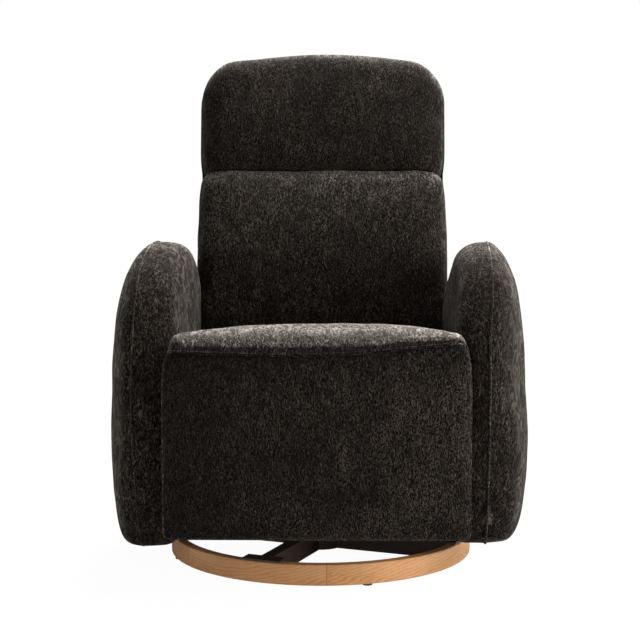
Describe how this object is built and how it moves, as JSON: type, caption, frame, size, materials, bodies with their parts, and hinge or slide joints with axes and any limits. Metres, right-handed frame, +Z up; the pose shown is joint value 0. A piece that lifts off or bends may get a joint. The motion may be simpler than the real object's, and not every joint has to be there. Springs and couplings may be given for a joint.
{
  "type": "swivel glider recliner",
  "caption": "Upholstered nursery glider on a wooden ring: swivels, glides, its back reclines and its front panel swings up as a footrest.",
  "frame": {"origin": "on the floor, on the swivel axis and under the middle of the chair", "axes": "+Z up, -Y out of the front of the chair, +X to the sitter's left"},
  "size_m": [0.792, 0.8715, 1.0102],
  "materials": {
    "ring_wood": "oiled",
    "cross_paint": "satin powder coat",
    "frame_paint": "satin powder coat",
    "bare_steel": "zinc plated",
    "frame_wood": "raw plywood",
    "glide_felt": "felt",
    "upholstery": "charcoal chenille"
  },
  "bodies": {
    "base": {"wood_ring": "ring_wood", "base_cross": "cross_paint", "floor_glide_1": "glide_felt", "floor_glide_2": "glide_felt", "floor_glide_3": "glide_felt", "floor_glide_4": "glide_felt", "lower_race": "bare_steel", "king_bolt": "bare_steel"},
    "swivel_frame": {"upper_race": "bare_steel", "swivel_plate": "frame_paint", "cross_channel_front": "frame_paint", "cross_channel_rear": "frame_paint", "stanchion_left": "frame_paint", "stanchion_right": "frame_paint"},
    "front_glide_links": {"glide_link_front_left": "bare_steel", "glide_link_front_right": "bare_steel"},
    "rear_glide_links": {"glide_link_rear_left": "bare_steel", "glide_link_rear_right": "bare_steel"},
    "seat": {"side_plate_left": "frame_paint", "side_plate_right": "frame_paint", "seat_rail_left": "frame_wood", "seat_rail_right": "frame_wood", "seat_rail_front": "frame_wood", "seat_rail_rear": "frame_wood", "seat_spring_1": "bare_steel", "seat_spring_2": "bare_steel", "seat_spring_3": "bare_steel", "seat_cushion": "upholstery", "seat_topper": "upholstery", "arm_inner_left": "upholstery", "arm_inner_right": "upholstery", "arm_outer_left": "upholstery", "arm_outer_right": "upholstery", "arm_panel_left": "frame_wood", "arm_panel_right": "frame_wood", "rear_skirt": "upholstery"},
    "back": {"lumbar_cushion": "upholstery", "headrest_cushion": "upholstery", "outer_back": "upholstery", "back_stile_left": "frame_wood", "back_stile_right": "frame_wood", "back_rail_low": "frame_wood", "back_rail_middle": "frame_wood", "back_rail_top": "frame_wood", "back_hinge_left": "frame_paint", "back_hinge_right": "frame_paint"},
    "footrest_drive_links": {"footrest_drive_link_left": "bare_steel", "footrest_drive_link_right": "bare_steel", "footrest_torque_tube": "frame_paint"},
    "footrest_control_links": {"footrest_control_link_left": "bare_steel", "footrest_control_link_right": "bare_steel"},
    "footrest_front_links": {"footrest_front_link_left": "bare_steel", "footrest_front_link_right": "bare_steel"},
    "footrest_steering_links": {"footrest_steering_link_left": "bare_steel", "footrest_steering_link_right": "bare_steel"},
    "footrest": {"footrest_pad": "upholstery", "footrest_board": "frame_wood", "footrest_bracket_left": "bare_steel", "footrest_bracket_right": "bare_steel"}
  },
  "joints": [
    {"name": "swivel", "type": "hinge", "parent": "base", "child": "swivel_frame", "pos_m": [0, 0, 0.05], "axis": [0, 0, 1], "continuous": true},
    {"name": "glide", "type": "hinge", "parent": "swivel_frame", "child": "front_glide_links", "pos_m": [0, -0.07, 0.295], "axis": [1, 0, 0], "range_deg": [-12, 12]},
    {"name": "glide_seat", "type": "hinge", "parent": "front_glide_links", "child": "seat", "pos_m": [0, -0.07, 0.135], "axis": [1, 0, 0], "range_deg": [-12.1, 12.1]},
    {"name": "glide_rear", "type": "hinge", "parent": "swivel_frame", "child": "rear_glide_links", "pos_m": [0, 0.11, 0.295], "axis": [1, 0, 0], "range_deg": [-12.1, 12.1]},
    {"name": "recline", "type": "hinge", "parent": "seat", "child": "back", "pos_m": [0, 0.16997, 0.385], "axis": [-1, 0, 0], "range_deg": [0, 30]},
    {"name": "footrest", "type": "hinge", "parent": "seat", "child": "footrest_drive_links", "pos_m": [0, -0.2274, 0.329], "axis": [-1, 0, 0], "range_deg": [0, 88.73]},
    {"name": "footrest_control", "type": "hinge", "parent": "seat", "child": "footrest_control_links", "pos_m": [0, -0.1981, 0.3061], "axis": [-1, 0, 0], "range_deg": [0, 90.63]},
    {"name": "footrest_front", "type": "hinge", "parent": "footrest_drive_links", "child": "footrest_front_links", "pos_m": [0, -0.1918, 0.1511], "axis": [-1, 0, 0], "range_deg": [-109.93, 0]},
    {"name": "footrest_steering", "type": "hinge", "parent": "footrest_drive_links", "child": "footrest_steering_links", "pos_m": [0, -0.1997, 0.1908], "axis": [-1, 0, 0], "range_deg": [-113.73, 0]},
    {"name": "footrest_board", "type": "hinge", "parent": "footrest_front_links", "child": "footrest", "pos_m": [0, -0.347, 0.292], "axis": [-1, 0, 0], "range_deg": [0, 111.2]}
  ],
  "couplings": [
    {"joint": "glide_seat", "follows": "glide", "ratio": -1},
    {"joint": "glide_rear", "follows": "glide", "ratio": 1},
    {"joint": "footrest_control", "follows": "footrest", "ratio": 1.0203},
    {"joint": "footrest_front", "follows": "footrest", "ratio": -1.2378},
    {"joint": "footrest_steering", "follows": "footrest", "ratio": -1.2806},
    {"joint": "footrest_board", "follows": "footrest", "ratio": 1.2521}
  ]
}
